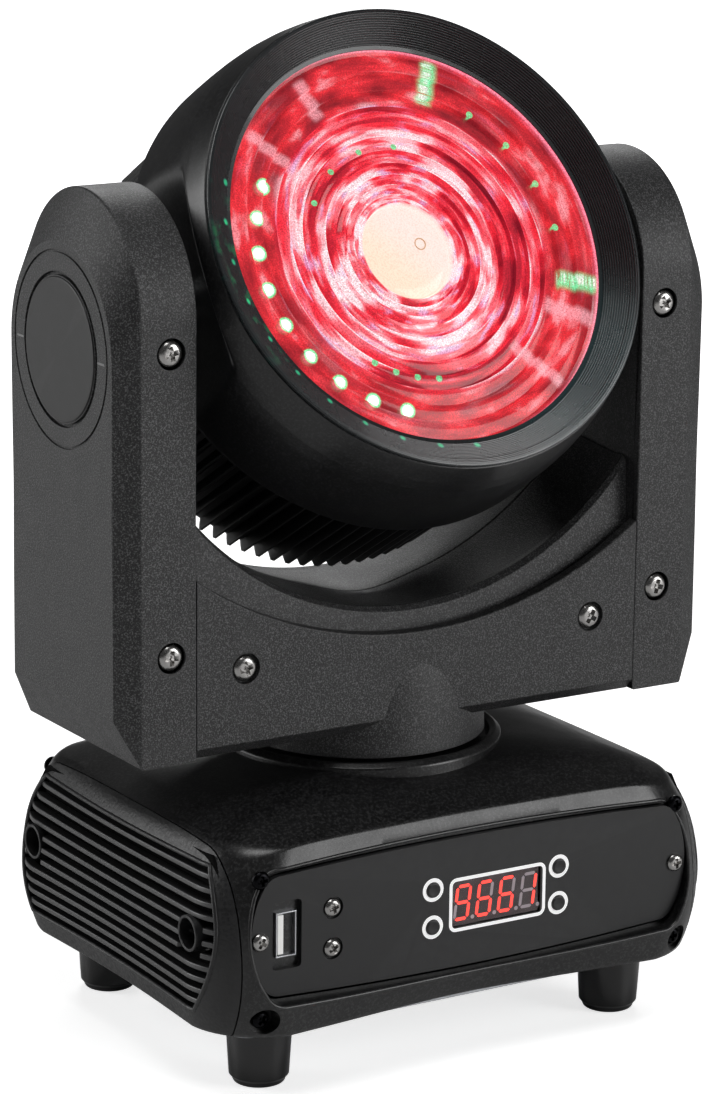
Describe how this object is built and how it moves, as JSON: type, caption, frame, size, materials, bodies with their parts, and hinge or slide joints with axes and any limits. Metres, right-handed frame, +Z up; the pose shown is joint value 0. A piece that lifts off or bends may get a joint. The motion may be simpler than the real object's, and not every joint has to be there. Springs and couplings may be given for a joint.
{
  "type": "moving head light",
  "caption": "Moving head wash light: a low base with a control panel, a two-armed yoke that pans, and a finned round head with a stepped lens that tilts",
  "frame": {"origin": "on the pan axis, at the level the feet stand on", "axes": "+Z is up along the pan axis; the control panel and the lens face -Y; +X is to the right as seen from the front, along the tilt axis"},
  "size_m": [0.1998, 0.1499, 0.2984],
  "materials": {
    "yoke_plastic": "fine sparkle-grained charcoal paint",
    "base_plastic": "satin black, glossy on the domed top",
    "side_plastic": "leather-grained black",
    "barrel_plastic": "semi-gloss black",
    "fin_plastic": "satin black ribs",
    "panel_metal": "flat satin black with white printed rings",
    "rubber": "smooth moulded",
    "screw_nickel": "nickel plated",
    "screw_black": "black oxide",
    "steel": "turned and ground",
    "sheet_steel": "zinc plated sheet",
    "aluminium": "natural extrusion",
    "reflector_metal": "bright spun",
    "lens_clear": "clear moulded, lit pink from behind",
    "display_red": "tinted window",
    "digit_white": "moulded segments",
    "board_green": "coated circuit board",
    "lamp_white": "matt",
    "connector_black": "moulded",
    "key_black": "moulded"
  },
  "bodies": {
    "base": {"base_plate": "panel_metal", "rubber_feet": "rubber", "base_shell": "base_plastic", "left_side_cover": "side_plastic", "right_side_cover": "side_plastic", "neck_ring": "base_plastic", "control_panel": "panel_metal", "display_module": "digit_white", "display_window": "display_red", "control_board": "board_green", "usb_socket": "screw_nickel", "panel_screws": "screw_nickel", "frame_screws": "screw_black", "side_cover_screws": "screw_black", "rear_panel": "panel_metal", "signal_in_socket": "connector_black", "signal_out_socket": "connector_black", "power_in_socket": "connector_black", "power_out_socket": "connector_black", "fuse_holder": "connector_black", "power_supply": "sheet_steel", "main_board": "board_green", "chassis_plate": "sheet_steel", "pan_bearing": "steel", "pan_motor": "screw_black", "pan_belt": "rubber"},
    "menu_key": {"menu_button": "key_black"},
    "enter_key": {"enter_button": "key_black"},
    "up_key": {"up_button": "key_black"},
    "down_key": {"down_button": "key_black"},
    "latch": {"socket_latch": "steel"},
    "pan_drive": {"pan_motor_pulley": "aluminium"},
    "yoke": {"pan_shaft": "steel", "pan_pulley": "aluminium", "yoke_frame": "sheet_steel", "crossbar_front_cover": "yoke_plastic", "crossbar_rear_cover": "yoke_plastic", "left_arm_cover": "yoke_plastic", "right_arm_cover": "yoke_plastic", "arm_inner_covers": "yoke_plastic", "arm_discs": "fin_plastic", "yoke_screws": "screw_nickel", "tilt_bearings": "steel", "tilt_motor": "screw_black", "tilt_belt": "rubber", "driver_board": "board_green"},
    "tilt_drive": {"tilt_motor_pulley": "aluminium"},
    "head": {"trunnions": "steel", "tilt_pulley": "aluminium", "head_frame": "sheet_steel", "front_barrel": "barrel_plastic", "front_bezel": "barrel_plastic", "fresnel_lens": "lens_clear", "led_ring": "board_green", "reflector": "reflector_metal", "lamp_module": "lamp_white", "heat_sink": "aluminium", "rear_housing": "fin_plastic", "fan_frame": "connector_black"},
    "fan": {"fan_rotor": "connector_black"}
  },
  "joints": [
    {"name": "pan", "type": "hinge", "parent": "base", "child": "yoke", "pos_m": [0, 0, 0.09], "axis": [0, 0, 1], "range_deg": [-270, 270]},
    {"name": "pan_drive_spin", "type": "hinge", "parent": "base", "child": "pan_drive", "pos_m": [0.047, 0, 0.06], "axis": [0, 0, 1], "range_deg": [-1620, 1620]},
    {"name": "tilt", "type": "hinge", "parent": "yoke", "child": "head", "pos_m": [0, 0, 0.2185], "axis": [-1, 0, 0], "range_deg": [-75, 195]},
    {"name": "tilt_drive_spin", "type": "hinge", "parent": "yoke", "child": "tilt_drive", "pos_m": [-0.0865, 0, 0.1195], "axis": [-1, 0, 0], "range_deg": [-375, 975]},
    {"name": "fan_spin", "type": "hinge", "parent": "head", "child": "fan", "pos_m": [0, 0, 0.2185], "axis": [0, -0.866, 0.5], "continuous": true},
    {"name": "menu_press", "type": "slide", "parent": "base", "child": "menu_key", "axis": [0, 1, 0], "range_m": [0, 0.0006]},
    {"name": "enter_press", "type": "slide", "parent": "base", "child": "enter_key", "axis": [0, 1, 0], "range_m": [0, 0.0006]},
    {"name": "up_press", "type": "slide", "parent": "base", "child": "up_key", "axis": [0, 1, 0], "range_m": [0, 0.0006]},
    {"name": "down_press", "type": "slide", "parent": "base", "child": "down_key", "axis": [0, 1, 0], "range_m": [0, 0.0006]},
    {"name": "latch_press", "type": "slide", "parent": "base", "child": "latch", "axis": [0, -1, 0], "range_m": [0, 0.0012]}
  ],
  "couplings": [
    {"joint": "pan_drive_spin", "follows": "pan", "ratio": 6},
    {"joint": "tilt_drive_spin", "follows": "tilt", "ratio": 5}
  ]
}
